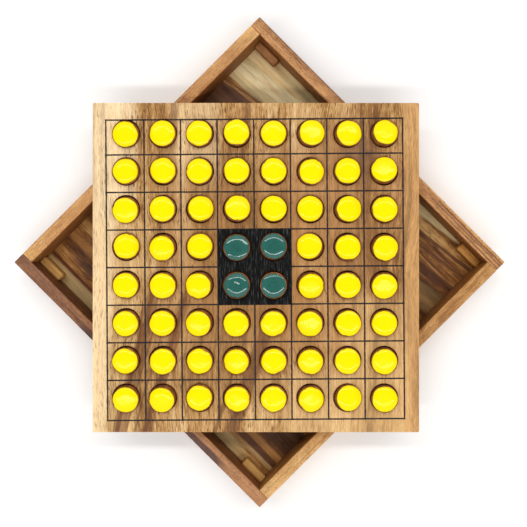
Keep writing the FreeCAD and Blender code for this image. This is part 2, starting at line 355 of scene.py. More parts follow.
@dataclass(frozen=True)
class Timber:
    """One piece's wood under a thin satin finish."""

    name: str
    stops: Stops  # its colours from darkest to palest
    grain: Grain = Grain.ALONG_X
    half: Colour = (400.0, 400.0, 400.0)  # half the piece's own size, for the rubbed edges
    seed: float = 0.0  # moves the figure, so that no two pieces are cut alike
    band: float = 22.0  # how wide the broad bands are
    band_length: float = 150.0
    band_depth: float = 1.6  # how strongly they show
    mottle_depth: float = 0.45  # how strongly the short cross-lit flecks show
    figure: float = 3.2  # how wide the growth lines are
    figure_depth: float = 0.9
    fibre_depth: float = 0.5  # how strongly the finest fibres show
    drift: float = 14.0  # how far the grain wanders off straight
    pore: Colour = paint(96, 60, 34)
    pore_share: float = 0.5  # how much of the surface the open pores take, 0 to 1
    pore_length: float = 4.5
    pore_strength: float = 0.55  # how dark a pore is
    pores_first: bool = False  # whether the streaks lie over the pores
    roughness: float = 0.5
    streaks: Tuple[Streak, ...] = ()
    rub: float = 0.35  # how much the edges are rubbed pale
    painted_shade_side: Optional[Tuple[int, int]] = None  # towards the side whose face gets painted shade below the rim

    def _sort(self, x: Signal, y: Signal, z: Signal) -> Tuple[Signal, Signal, Signal]:
        """A point's place along the grain, across it and deep in it."""
        orders = {Grain.ALONG_X: (x, y, z), Grain.ALONG_Y: (y, x, z), Grain.ALONG_Z: (z, x, y)}
        return orders[self.grain]

    def _edge(self, *point: Signal) -> Signal:
        """The distance to the nearest edge of the piece."""
        gaps = [half - abs(value) for half, value in zip(self.half, point)]
        return gaps[0] + gaps[1] + gaps[2] - gaps[0].most(gaps[1]).most(gaps[2])

    def colour(self, shader: Shader) -> Tuple[Signal, Signal, Signal]:
        """Works the wood out.

        Args:
            shader: the material it goes into.

        Returns:
            Its colour, its roughness and its relief.
        """
        x, y, z = shader.place()
        along, across, deep = self._sort(x, y, z)
        cut = Cut(shader, along, along + self.seed, across, deep, self.seed)
        wander = across + cut.noise((110, 80, 60), 1.0) * self.drift
        band = cut.noise((self.band_length, self.band, 30), across=wander)
        mottle = cut.noise((11, 4.5, 6), 2.0, 0.6, wander)
        figure = cut.noise((95, self.figure, 5), 2.5, 0.6, wander)
        fibre = cut.noise((6, 0.7, 0.7), 2.0, 0.6, wander)
        speck = cut.noise((self.pore_length, 0.75, 0.75), 0.5, across=wander)
        patch = cut.noise((35, 12, 12), 1.0)
        open_from = 0.25 - self.pore_share * 0.2
        pores = (speck + patch * 0.25).step(open_from, open_from + 0.09)
        tone = 0.5 + band * self.band_depth + figure * self.figure_depth + fibre * self.fibre_depth
        tone = tone + mottle * self.mottle_depth
        colour = shader.ramp(tone, self.stops)
        for over in (False, True):
            for streak in self.streaks:
                if over is (streak.over or self.pores_first):
                    colour = self._lay(colour, streak, cut, tone)
            if not over:
                colour = colour.toward(self.pore, pores * self.pore_strength)
        # Painted shade: the face towards that side is darkened below the rim, where the board and the
        # other walls keep the light off it.
        if self.painted_shade_side is not None:
            right, back = self.painted_shade_side
            reach = self.half[0] if right else self.half[1]
            shade_facing = (x * right + y * back).step(reach - 0.7, reach - 0.3)
            below = (z + patch).step(self.half[2] - 0.5, self.half[2] - 2.5)
            colour = colour.times((0.6, 0.45, 0.31), shade_facing * below)
        edge = (self._edge(x, y, z) + patch * 1.2).step(1.4, 0.3)
        colour = colour.toward(colour.times((1.35, 1.3, 1.22)), edge * self.rub)
        rough = self.roughness + fibre * 0.25 + pores * 0.12 + edge * 0.08
        relief = 0.5 + fibre * 0.6 - pores * 0.45 + figure * 0.25
        return colour, rough, relief

    def _lay(self, colour: Signal, streak: Streak, cut: Cut, tone: Signal) -> Signal:
        """Lays one streak into the wood.

        Args:
            colour: the wood so far.
            streak: the streak.
            cut: the place in the wood.
            tone: the wood's own tone, which shows through.

        Returns:
            The wood with the streak in it.
        """
        wobble = cut.shader.noise(
            cut.far / 42, cut.across / 9, cut.deep / 9 + streak.across, 2.5, 0.62
        )
        middle = cut.along * streak.slope + streak.across
        if streak.tilt:
            middle = middle + (cut.deep - self.half[2]) * streak.tilt
        gap = abs(cut.across - middle + wobble * (2 * streak.ragged))
        mask = gap.step(streak.width + streak.soft / 2, streak.width - streak.soft / 2)
        for end, fade in ((streak.start, 12.0), (streak.stop, -12.0)):
            if abs(end) < FAR:
                mask = mask * (cut.along + wobble * 30).step(end - fade, end + fade)
        plain = paint(*streak.colour)
        dark = tuple(value * 0.62 for value in plain)
        pale = tuple(min(1.0, value * 1.3) for value in plain)
        tinted = cut.shader.ramp(tone, [(0.1, dark), (0.5, plain), (0.9, pale)])
        return colour.toward(tinted, mask * streak.strength)

    def material(self) -> bpy.types.Material:
        """Makes the material.

        Returns:
            The oiled wood.
        """
        shader = Shader(bpy.data.materials.new(self.name))
        colour, rough, relief = self.colour(shader)
        return shader.close(shader.surface(colour, rough, relief, Specular_IOR_Level=0.25))


@dataclass(frozen=True)
class PrintedTimber(Timber):
    """The playing board's wood, with the grid printed on it and the middle stained black."""

    frame: Tuple[Spot, Spot] = ((-104.0, -106.0), (103.0, 103.5))  # the printed frame's corners
    pitch: Spot = (25.5, 26.2)  # the printed lines' spacing inside it, along x and y
    middle: Spot = (-0.9, 0.6)  # where the two middle lines cross
    cells: int = 8
    askew: float = 0.0068  # how far the print is turned on the board, in radians
    line: float = 1.1  # how wide a printed line is
    ink: Colour = paint(16, 12, 18)
    stain: Tuple[Spot, Spot] = ((-26.5, -26.0), (25.0, 27.0))  # the black square's corners
    top: float = 7.75  # how high the printed face lies

    def _lines(self, axis: int) -> List[float]:
        """Where the printed lines lie, in rising order.

        Args:
            axis: 0 for the lines between columns, 1 for those between rows.

        Returns:
            Their places, the frame's two lines with them.
        """
        reach = range(1 - self.cells // 2, self.cells // 2)
        inner = [self.middle[axis] + self.pitch[axis] * step for step in reach]
        return [self.frame[0][axis], *inner, self.frame[1][axis]]

    @staticmethod
    def _gap(value: Signal, lines: Sequence[float]) -> Signal:
        """The distance to the nearest of some lines.

        Args:
            value: the place, by the coordinate that the lines cross.
            lines: where they lie.

        Returns:
            The distance.
        """
        nearest = abs(value - lines[0])
        for line in lines[1:]:
            nearest = nearest.least(abs(value - line))
        return nearest

    def _within(self, value: Signal, lines: Sequence[float]) -> Signal:
        """Whether a place lies between the first and last line, their own width with them."""
        reach = (lines[-1] - lines[0] + self.line) / 2
        return (abs(value - (lines[0] + lines[-1]) / 2) - reach).step(0.2, 0.0)

    @staticmethod
    def _beyond(value: Signal, low: float, high: float) -> Signal:
        """How far a place lies outside a stretch, less than nought inside it."""
        return abs(value - (low + high) / 2) - (high - low) / 2

    def material(self) -> bpy.types.Material:
        """Makes the material.

        Returns:
            The oiled wood, printed and stained.
        """
        shader = Shader(bpy.data.materials.new(self.name))
        colour, rough, relief = self.colour(shader)
        plain_x, plain_y, z = shader.place()
        x = plain_x + plain_y * self.askew
        y = plain_y - plain_x * self.askew
        shake = shader.noise(x / 2.2, y / 2.2, z) * 0.35
        columns, rows = self._lines(0), self._lines(1)
        inside = self._within(x, columns) * self._within(y, rows)
        gap = self._gap(x, columns).least(self._gap(y, rows))
        fade = shader.noise(x / 9, y / 9, z, 3.0, 0.7)
        lines = (gap + shake).step(self.line * 0.5 + 0.14, self.line * 0.5 - 0.14)
        lines = lines * inside * (1.0 + fade * 0.4).least(1.0)
        colour = colour.toward(self.ink, lines)
        (left, front), (right, back) = self.stain
        box = self._beyond(x, left, right).most(self._beyond(y, front, back))
        mask = (box + shake).step(0.2, -0.2) * z.step(self.top - 1.2, self.top - 0.6)
        grey = shader.noise(x / 0.6, y / 7, z, 2.0, 0.65)
        blacks = ((0.3, paint(12, 12, 12)), (0.6, paint(27, 28, 28)), (0.85, paint(74, 76, 74)))
        black = shader.ramp(0.5 + grey * 1.6, blacks)
        oiled = shader.surface(colour, rough, relief, Specular_IOR_Level=0.25)
        stained = shader.surface(black, 0.8, relief, Specular_IOR_Level=0.06)
        return shader.close(shader.node("ShaderNodeMixShader", None, {0: mask, 1: oiled, 2: stained}))


@dataclass(frozen=True)
class Enamel:
    """Thick glossy paint that pooled into a dome on a disc's face."""

    name: str
    colour: Colour
    middle: Colour  # its colour over the flat of the dome
    rim: Colour  # its colour where it runs thin at the edge
    mottle: float  # how much its colour varies
    roughness: float
    gloss: float  # its index of refraction
    radius: float = 8.8  # how far it reaches
    relief: float = 0.03  # how high its finest unevenness stands

    def material(self) -> bpy.types.Material:
        """Makes the material.

        Returns:
            The enamel.
        """
        shader = Shader(bpy.data.materials.new(self.name))
        x, y, z = shader.place()
        seed = shader.attribute("disc_seed") * 97
        out = (x * x + y * y) ** 0.5
        cloud = shader.noise(x / 3.2, y / 3.2, z / 6 + seed, 3.0, 0.6)
        fine = shader.noise(x / 0.7, y / 0.7, z / 0.7 + seed)
        stops = [(0.35, self.middle), (0.8, self.colour), (1.0, self.colour)]
        colour = shader.ramp(out / self.radius + cloud * 0.5, stops)
        blotch = ((cloud * 1.6 + fine * 3.4) * self.mottle).most(0.0).least(1.0)
        colour = colour.times((0.3, 0.45, 0.45), blotch)
        thin = (out + cloud * 1.6 + fine * 0.5).step(self.radius - 0.5, self.radius + 0.35)
        colour = colour.toward(self.rim, thin * 0.8)
        rough = self.roughness + cloud * 0.12 + fine * 0.05 + thin * 0.15
        height = 0.5 + cloud * 0.9 + fine * 0.12
        return shader.close(shader.surface(colour, rough, height, self.relief, IOR=self.gloss))


@dataclass(frozen=True)
class StudioPaper:
    """The plain pale sheet that everything stands on."""

    name: str = "studio_paper"
    colour: Colour = (0.95, 0.95, 0.955)

    def material(self) -> bpy.types.Material:
        """Makes the material.

        Returns:
            The paper.
        """
        shader = Shader(bpy.data.materials.new(self.name))
        x, y, z = shader.place()
        cloud = shader.noise(x / 900, y / 900, z, 1.0)
        dull = tuple(value * 0.985 for value in self.colour)
        colour = shader.ramp(0.5 + cloud * 0.4, [(0.0, dull), (1.0, self.colour)])
        return shader.close(shader.surface(colour, 0.85, None))


# ---------------------------------------------------------------------------------------- meshes


class Form:
    """A mesh under construction, in its own frame."""

    def __init__(self) -> None:
        """Starts an empty mesh."""
        self.mesh = bmesh.new()
        self.known: Dict[Tuple[int, int, int], bmesh.types.BMVert] = {}

    def corner(self, x: float, y: float, z: float) -> bmesh.types.BMVert:
        """Gives the corner at a place, and makes it if there is none yet.

        Args:
            x: the place along x.
            y: the place along y.
            z: the place along z.

        Returns:
            The corner, one for each place.
        """
        key = (round(x * 500), round(y * 500), round(z * 500))
        if key not in self.known:
            self.known[key] = self.mesh.verts.new((x, y, z))
        return self.known[key]

    def ring(self, radius: float, z: float, sides: int, middle: Spot = (0.0, 0.0)) -> Corners:
        """The corners of a level circle, in order."""
        spots = [(TURN * index / sides, radius) for index in range(sides)]
        return [self.corner(middle[0] + r * math.cos(a), middle[1] + r * math.sin(a), z) for a, r in spots]

    def panel(self, corners: Sequence[bmesh.types.BMVert], finish: int = 0) -> None:
        """Adds one face, unless its corners fall together.

        Args:
            corners: its corners in order.
            finish: the number of its material.
        """
        kept = list(dict.fromkeys(corners))
        if len(kept) >= 3 and self.mesh.faces.get(kept) is None:
            self.mesh.faces.new(kept).material_index = finish

    def band(self, lower: Corners, upper: Corners, finish: int = 0, closed: bool = True) -> None:
        """Joins two rows of corners with a strip of faces.

        Args:
            lower: the first row.
            upper: the second row, of the same length.
            finish: the number of the strip's material.
            closed: whether the rows close on themselves.
        """
        count = len(lower)
        for index in range(count if closed else count - 1):
            after = (index + 1) % count
            self.panel([lower[index], lower[after], upper[after], upper[index]], finish)

    def tube(self, rows: Sequence[Corners], finish: int = 0) -> None:
        """Joins each row of corners to the next.

        Args:
            rows: the rows in order, each closed on itself.
            finish: the number of the strips' material.
        """
        for lower, upper in zip(rows, rows[1:]):
            self.band(lower, upper, finish)

    def outer_edges(self, steepest: float = 30.0) -> List[bmesh.types.BMEdge]:
        """Finds the outward corners.

        Args:
            steepest: flatter edges than this many degrees are left out.

        Returns:
            The edges to be eased by hand.
        """
        return [
            edge
            for edge in self.mesh.edges
            if len(edge.link_faces) == 2
            and edge.is_convex
            and edge.calc_face_angle(0.0) > math.radians(steepest)
        ]

    def soften(self, edges: Iterable[bmesh.types.BMEdge], width: float, steps: int = 3) -> None:
        """Rounds some edges.

        Args:
            edges: the edges.
            width: how wide the rounding is.
            steps: how many faces it takes.
        """
        bmesh.ops.bevel(
            self.mesh, geom=list(edges), offset=width, segments=steps, profile=0.5,
            affect="EDGES", clamp_overlap=True, offset_type="OFFSET",
        )

    def object(
        self, name: str, finishes: Sequence[bpy.types.Material], place: Matrix, sharp: float = 34.0
    ) -> bpy.types.Object:
        """Turns the mesh into a piece.

        Args:
            name: the piece's name.
            finishes: its materials.
            place: where it goes, in metres.
            sharp: edges steeper than this many degrees stay crisp.

        Returns:
            The piece.
        """
        bmesh.ops.recalc_face_normals(self.mesh, faces=self.mesh.faces)
        own = self.mesh.verts.layers.float_vector.new(OWN_PLACE)
        for corner in self.mesh.verts:
            corner[own] = corner.co
        bmesh.ops.transform(self.mesh, matrix=place @ Matrix.Scale(MM, 4), verts=self.mesh.verts)
        data = bpy.data.meshes.new(name)
        self.mesh.to_mesh(data)
        self.mesh.free()
        for finish in finishes:
            data.materials.append(finish)
        data.shade_smooth()
        data.set_sharp_from_angle(angle=math.radians(sharp))
        made = bpy.data.objects.new(name, data)
        bpy.context.scene.collection.objects.link(made)
        log.info("%s: %d faces", name, len(data.polygons))
        return made


def block_form(
    planes: Sequence[Sequence[float]], filled: Callable[[float, float, float], bool]
) -> Form:
    """Builds a closed form from a lattice of boxes.

    Args:
        planes: where the lattice is cut across x, across y and across z.
        filled: tells from a box's middle whether it is solid.

    Returns:
        The form, with faces only where solid meets air.
    """
    form = Form()
    counts = [len(values) - 1 for values in planes]

    def solid(cell: Sequence[int]) -> bool:
        """Whether one box of the lattice is inside and solid."""
        inside = all(0 <= place < count for place, count in zip(cell, counts))
        return inside and filled(*((cut[at] + cut[at + 1]) / 2 for cut, at in zip(planes, cell)))

    cells = [(i, j, k) for i in range(counts[0]) for j in range(counts[1]) for k in range(counts[2])]
    for cell in filter(solid, cells):
        for axis in range(3):
            first, second = [other for other in range(3) if other != axis]
            for side in (0, 1):
                beyond = list(cell)
                beyond[axis] += 1 if side else -1
                if solid(beyond):
                    continue
                corners = []
                for one, two in ((0, 0), (1, 0), (1, 1), (0, 1)):
                    spot = [0.0, 0.0, 0.0]
                    for line, step in ((axis, side), (first, one), (second, two)):
                        spot[line] = planes[line][cell[line] + step]
                    corners.append(form.corner(*spot))
                form.panel(corners)
    bmesh.ops.recalc_face_normals(form.mesh, faces=form.mesh.faces)
    return form


def spread(low: float, high: float, pitch: float) -> List[float]:
    """Splits a length into equal steps.

    Args:
        low: where it starts.
        high: where it ends.
        pitch: the longest step.

    Returns:
        The places of the steps, both ends with them.
    """
    count = max(1, math.ceil((high - low) / pitch))
    return [low + (high - low) * index / count for index in range(count + 1)]


def solid_block(half: Vector, pitches: Sequence[float]) -> Form:
    """A plain block, split along x, y and z into steps no longer than the pitches."""
    planes = [spread(-reach, reach, pitch) for reach, pitch in zip(half, pitches)]
    return block_form(planes, lambda x, y, z: True)


def node_box(name: str) -> Tuple[Vector, Vector]:
    """A CAD node's lowest and highest corner."""
    low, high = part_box(name)
    return low / MM, high / MM


def node_middle(name: str) -> Tuple[Vector, Vector]:
    """A CAD node's middle, and half its size."""
    low, high = node_box(name)
    return (low + high) / 2, (high - low) / 2


def stand_in(piece: bpy.types.Object, body: str, node: str) -> None:
    """Puts a piece in the place of a CAD node.

    Args:
        piece: the piece.
        body: the body that it rides on.
        node: the node that it stands for.
    """
    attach(piece, body)
    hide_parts(node)


# ------------------------------------------------------------------------------------- the pieces


@dataclass
class StorageTray:
    """The open square tray: four walls, a floor let into them, and four corner blocks."""

    easing: float = 0.8  # how far a wall's edges are rounded
    ledge_easing: float = 1.1
    floor_easing: float = 0.3
    near: float = 0.9  # how close to an edge a corner of the mesh wears with it

    def _finish(self, form: Form, node: str, timber: Timber) -> None:
        """Sets a form on the tray in place of its CAD node.

        Args:
            form: the form, about the node's middle.
            node: the node.
            timber: its wood, whose half sizes are filled in here.
        """
        middle, half = node_middle(node)
        finish = replace(timber, half=tuple(half)).material()
        piece = form.object(node, [finish], Matrix.Translation(middle * MM))
        stand_in(piece, "tray", node)

    def _wear(self, form: Form, half: Vector, dice: random.Random) -> None:
        """Draws the edges in a little, unevenly, as sanding by hand does.

        Args:
            form: the piece's form.
            half: half its size.
            dice: for the unevenness.
        """
        phase = [dice.uniform(0, 6.28) for _ in range(6)]
        for corner in form.mesh.verts:
            place = corner.co
            near = [axis for axis in range(3) if half[axis] - abs(place[axis]) < self.near]
            if len(near) < 2:
                continue
            wave = sum(math.sin(place[axis] * (0.07 + 0.11 * axis) + phase[axis]) for axis in range(3))
            for axis in near:
                place[axis] -= math.copysign(0.1 + 0.07 * wave / 3, place[axis])

    def _wall(self, side: str, timber: Timber, dice: random.Random) -> None:
        """Builds one wall with its rebate.

        Args:
            side: front, back, left or right.
            timber: its wood.
            dice: for the hand-eased edges.
        """
        node = f"tray_wall_{side}"
        low, high = node_box(node)
        middle, half = node_middle(node)
        floor_low, floor_high = node_box("tray_floor")
        shoulder = floor_high.z

        def solid(x: float, y: float, z: float) -> bool:
            """Whether the wall fills a point, which it does outside the floor's rebate.

            Args:
                x: its place from the wall's middle along x.
                y: its place along y.
                z: its place along z.

            Returns:
                Whether there is wood.
            """
            spot = Vector((x, y, z)) + middle
            inside = all(floor_low[axis] < spot[axis] < floor_high[axis] for axis in (0, 1))
            return not (inside and spot.z < shoulder)

        cuts = []
        for axis in (0, 1):
            floor_ends = (floor_low[axis], floor_high[axis])
            ends = sorted([low[axis], high[axis], *(v for v in floor_ends if low[axis] < v < high[axis])])
            places = [v for start, stop in zip(ends, ends[1:]) for v in spread(start, stop, 9.0)[:-1]]
            cuts.append([place - middle[axis] for place in [*places, high[axis]]])
        cuts.append([level - middle.z for level in (low.z, shoulder, high.z)])
        form = block_form(cuts, solid)
        outer = form.outer_edges()
        if side in ("left", "right"):
            outer = [e for e in outer if min(abs(v.co.y) for v in e.verts) < half.y - 0.01]
        form.soften(outer, self.easing)
        self._wear(form, half, dice)
        # Painted shade: the wall's inner face is darkened below the rim.
        shaded_side = {"front": (0, 1), "back": (0, -1), "left": (1, 0), "right": (-1, 0)}[side]
        self._finish(form, node, replace(timber, painted_shade_side=shaded_side))

    def _ledge(self, corner: str, timber: Timber, dice: random.Random) -> None:
        """Builds one corner block.

        Args:
            corner: the corner's name.
            timber: its wood.
            dice: for its unevenness.
        """
        node = f"ledge_block_{corner}"
        half = node_middle(node)[1]
        form = solid_block(half, (4.0, 3.0, 3.2))
        form.soften(form.outer_edges(), self.ledge_easing)
        self._wear(form, half, dice)
        self._finish(form, node, timber)

    def _floor(self, timber: Timber) -> None:
        """Builds the floor panel.

        Args:
            timber: its wood.
        """
        form = solid_block(node_middle("tray_floor")[1], (20.0, 20.0, 20.0))
        form.soften(form.outer_edges(), self.floor_easing, 2)
        self._finish(form, "tray_floor", timber)

    def build(self) -> None:
        """Builds the whole tray."""
        dice = random.Random(11)
        for side, timber in WALL_TIMBERS.items():
            self._wall(side, timber, dice)
        self._floor(FLOOR_TIMBER)
        for corner, timber in LEDGE_TIMBERS.items():
            self._ledge(corner, timber, dice)


@dataclass
class PlayingBoard:
    """The solid board with its eight by eight blind holes."""

    turn: float = 45.0  # how far it lies turned, in degrees
    half: Spot = (114.0, 115.0)  # half its size along its own x and y
    pitch: Spot = (25.7, 26.3)  # the holes' spacing
    count: int = 8  # how many holes there are each way
    first: Spot = (-90.45, -90.75)  # the first hole's place from the board's middle
    hole: float = 9.8  # a hole's radius
    depth: float = 4.0  # how deep a hole is
    mouth: float = 0.4  # how far its mouth is rounded
    easing: float = 0.9  # how far the board's edges are rounded
    sides: int = 56  # how many faces go round a hole

    def place(self) -> Matrix:
        """Where the board's own frame lies, in metres: its middle, turned."""
        low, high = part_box("board")
        return Matrix.Translation((low + high) / 2) @ Matrix.Rotation(math.radians(self.turn), 4, "Z")

    def cell(self, column: int, row: int) -> Spot:
        """The middle of a hole in the board's own frame."""
        return (self.first[0] + column * self.pitch[0], self.first[1] + row * self.pitch[1])

    def _square(self, form: Form, middle: Spot, z: float) -> Corners:
        """The corners on a cell's outline that face those of a ring.

        Args:
            form: the form that they go into.
            middle: the cell's middle.
            z: the height.

        Returns:
            The corners in order.
        """
        half = (self.pitch[0] / 2, self.pitch[1] / 2)
        found = []
        for index in range(self.sides):
            angle = TURN * index / self.sides
            cos, sin = math.cos(angle), math.sin(angle)
            if abs(abs(cos) - abs(sin)) < 1e-6:
                spot = (math.copysign(half[0], cos), math.copysign(half[1], sin))
            elif abs(cos) > abs(sin):
                spot = (math.copysign(half[0], cos), half[1] * sin / abs(cos))
            else:
                spot = (half[0] * cos / abs(sin), math.copysign(half[1], sin))
            found.append(form.corner(middle[0] + spot[0], middle[1] + spot[1], z))
        return found

    def _bore(self, form: Form, middle: Spot, top: float) -> None:
        """Adds one cell: the face round a hole, its rounded mouth, its wall and its floor.

        Args:
            form: the form that it goes into.
            middle: the hole's middle.
            top: how high the board's face lies.
        """
        bottom = top - self.depth
        bends = [math.pi / 2 * step / 3 for step in range(4)]
        profile = [
            (self.hole + self.mouth * (1 - math.sin(bend)), top - self.mouth * (1 - math.cos(bend)))
            for bend in bends
        ]
        profile += [
            (self.hole, bottom + 0.25), (self.hole - 0.12, bottom), (self.hole - 0.5, bottom),
            (self.hole * 0.6, bottom + 0.08), (1.6, bottom + 0.1), (0.6, bottom - 0.9),
        ]
        rings = [self._square(form, middle, top)]
        rings += [form.ring(radius, z, self.sides, middle) for radius, z in profile]
        form.tube(rings[:4])
        # The hole's wall and floor take the second material, a darker brown that is painted shade.
        form.tube(rings[3:], 1)
        form.panel(rings[-1], 1)

    def _margins(self, form: Form, top: float, bottom: float) -> None:
        """Adds the border round the cells, the four sides and the underside.

        Args:
            form: the form that they go into.
            top: how high the face lies.
            bottom: how high the underside lies.
        """
        low = [self.first[axis] - self.pitch[axis] / 2 for axis in (0, 1)]
        high = [low[axis] + self.pitch[axis] * self.count for axis in (0, 1)]
        reach_x, reach_y = self.half
        seen = [vert.co for vert in form.mesh.verts if abs(vert.co.z - top) < 1e-6]
        xs = sorted({round(co.x, 4) for co in seen if abs(co.y - low[1]) < 1e-3})
        ys = sorted({round(co.y, 4) for co in seen if abs(co.x - low[0]) < 1e-3})
        sides_x = ((low[0], -reach_x), (high[0], reach_x))
        sides_y = ((low[1], -reach_y), (high[1], reach_y))
        for side in sides_y:
            form.band(*([form.corner(x, y, top) for x in xs] for y in side), closed=False)
        for side in sides_x:
            form.band(*([form.corner(x, y, top) for y in ys] for x in side), closed=False)
        for x_in, x_out in sides_x:
            for y_in, y_out in sides_y:
                spots = ((x_in, y_in), (x_out, y_in), (x_out, y_out), (x_in, y_out))
                form.panel([form.corner(x, y, top) for x, y in spots])
        loop = [(x, -reach_y) for x in [-reach_x, *xs]]
        loop += [(reach_x, y) for y in [-reach_y, *ys]]
        loop += [(x, reach_y) for x in [reach_x, *xs[::-1]]]
        loop += [(-reach_x, y) for y in [reach_y, *ys[::-1]]]
        upper = [form.corner(x, y, top) for x, y in loop]
        lower = [form.corner(x, y, bottom) for x, y in loop]
        form.band(lower, upper)
        form.panel(lower)

    def build(self) -> None:
        """Builds the board."""
        form = Form()
        top = node_middle("board")[1].z
        for column in range(self.count):
            for row in range(self.count):
                self._bore(form, self.cell(column, row), top)
        self._margins(form, top, -top)
        bmesh.ops.recalc_face_normals(form.mesh, faces=form.mesh.faces)
        rim = [
            edge
            for edge in form.outer_edges(60.0)
            if any(self.half[a] - min(abs(v.co[a]) for v in edge.verts) < 0.01 for a in (0, 1))
        ]
        form.soften(rim, self.easing)
        timber = replace(BOARD_TIMBER, half=(*self.half, top), top=top)
        piece = form.object("board", [timber.material(), BORED_SHADE_TIMBER.material()], self.place())
        stand_in(piece, "board", "board")


@dataclass
class DiscSet:
    """The sixty-four loose discs, one in each hole."""

    board: PlayingBoard
    radius: float = 9.2
    height: float = 8.95
    wood_top: float = 7.6  # how high a disc's wooden side reaches at the paint's edge
    turning: float = 0.4  # how far the wood is rounded in under the paint
    sides: int = 88  # how many faces go round a disc
    green: Tuple[str, ...] = ("d4", "d5", "e4", "e5")  # the cells whose green side is up
    lumpy: Dict[str, float] = field(default_factory=lambda: {"e4": 2.6})  # uneven paint
    # How steep the paint's dome is at shares of its radius, in degrees.
    tilts: Tuple[Spot, ...] = (
        (0.0, 0.0), (0.4, 1.6), (0.55, 5.4), (0.66, 10.8), (0.78, 17.5), (0.92, 25.0), (1.0, 42.0),
    )
    play: float = 0.58  # how far a disc can slide in its hole before it touches the wall
    steepest: float = 9.0  # how far it can lean, in degrees
    forward: float = 0.6  # how far the discs of the front four rows have slid to the front
    # Where a bubble burst and left a small pit in the upper paint, from the disc's middle.
    pits: Dict[str, Tuple[Spot, ...]] = field(
        default_factory=lambda: {"d4": ((-0.9, 1.4), (1.3, 0.2))}
    )
    # How far the top of a disc that stands askew is out of its hole's axis.
    lies: Dict[str, Spot] = field(
        default_factory=lambda: {
            "a8": (0.0, -1.0), "f8": (1.5, 0.5), "g8": (1.5, 0.0), "h8": (1.0, 1.0),
            "f7": (1.0, -0.5), "h7": (-0.5, 2.0), "a6": (0.0, -2.0), "c6": (1.5, 0.5),
            "d6": (2.0, 1.5), "g6": (1.5, 0.0), "a5": (1.0, 0.5), "b5": (-0.5, -1.5),
            "f5": (-2.0, 1.0), "h5": (1.0, -1.5), "c4": (-1.5, -1.5), "f4": (1.0, -2.0),
            "h4": (0.0, -1.5), "c3": (-1.5, -1.5), "f3": (-1.0, -2.0), "b1": (-1.0, -2.0),
            "c1": (0.0, 0.5), "g1": (2.0, 0.5),
        }
    )

    def _stand(self, cell: str, floor: float, dice: random.Random) -> Matrix:
        """Works out how a disc stands: it rocks on its domed paint and leans on the hole's wall.

        Args:
            cell: the cell's name.
            floor: the height of the disc's underside in the CAD.
            dice: for the discs that stand nearly true.

        Returns:
            The disc's place, in metres.
        """
        column, row = ord(cell[0]) - ord("a"), int(cell[1]) - 1
        away = dice.uniform(0, TURN)
        reach = dice.uniform(0.1, 0.5)
        forward = self.forward if row < self.board.count // 2 else 0.0
        chance = (reach * math.cos(away) + 0.1, reach * math.sin(away) - forward)
        right, back = self.lies.get(cell, chance)
        reach = math.hypot(right, back)
        away = math.atan2(back, right)
        lean = min(max(reach - self.play, 0.0) / (self.height - self.board.depth), 0.16)
        lean = min(math.asin(lean), math.radians(self.steepest))
        slide = min(reach, self.play) - self.board.depth * math.sin(lean)
        turn = Matrix.Rotation(math.radians(self.board.turn), 4, "Z")
        rock = Matrix.Rotation(lean, 4, Vector((-math.sin(away), math.cos(away), 0.0)))
        push = Matrix.Translation(Vector((math.cos(away), math.sin(away), 0.0)) * slide * MM)
        hole = self.board.place() @ (Vector((*self.board.cell(column, row), 0.0)) * MM)
        hole.z = floor * MM
        return Matrix.Translation(hole) @ turn @ push @ rock

    def _fall(self, share: float) -> float:
        """How far the dome has fallen below its crown.

        Args:
            share: how far out, 0 at the middle to 1 at the paint's edge.

        Returns:
            The fall for a paint radius of one millimetre.
        """
        fall = 0.0
        for (start, first), (stop, second) in zip(self.tilts, self.tilts[1:]):
            reach = min(max(share, start), stop)
            if reach > start:
                reached = first + (second - first) * (reach - start) / (stop - start)
                fall += (reach - start) * math.tan(math.radians((first + reached) / 2))
        return fall

    def _outline(self, dice: random.Random) -> List[float]:
        """Works out how far the paint reaches in each direction.

        Args:
            dice: for its unevenness.

        Returns:
            The paint's radius at each side.
        """
        reach = self.radius - self.turning - dice.uniform(0.0, 0.32)
        waves = [(turns, dice.uniform(0.02, 0.11), dice.uniform(0, 6.28)) for turns in (2, 3, 4, 5, 7)]
        notches = [
            (dice.uniform(0, 6.28), dice.uniform(0.1, 0.28), dice.uniform(0.15, 0.5))
            for _ in range(dice.randint(1, 3))
        ]
        found = []
        for index in range(self.sides):
            angle = TURN * index / self.sides
            value = reach + sum(size * math.sin(turns * angle + at) for turns, size, at in waves)
            for middle, width, deep in notches:
                apart = math.atan2(math.sin(angle - middle), math.cos(angle - middle))
                value -= deep * math.exp(-((apart / width) ** 2))
            found.append(min(value, self.radius - 0.08))
        return found

    def _dome(
        self, form: Form, up: float, crown: float, finish: int, dice: random.Random,
        uneven: float = 1.0, pits: Sequence[Spot] = (),
    ) -> Corners:
        """Adds one painted face.

        Args:
            form: the form that it goes into.
            up: 1 for the upper face, -1 for the lower.
            crown: the height of the dome's crown.
            finish: the number of the paint's material.
            dice: for its unevenness.
            uneven: how lumpy the paint is.
            pits: where its small pits are.

        Returns:
            The last ring of corners, where the wood begins.
        """
        outline = self._outline(dice)
        lumps = []
        for _ in range(7):
            spot = (dice.uniform(-6, 6), dice.uniform(-6, 6))
            lumps.append((*spot, dice.uniform(1.8, 4.0), dice.gauss(0, 0.06 * uneven)))
        lumps += [(x, y, 1.5, 0.38) for x, y in pits]
        lean = (dice.gauss(0, 0.02 * uneven), dice.gauss(0, 0.02 * uneven))
        plump = dice.uniform(0.84, 1.14)
        even = self.radius - self.turning - 0.2

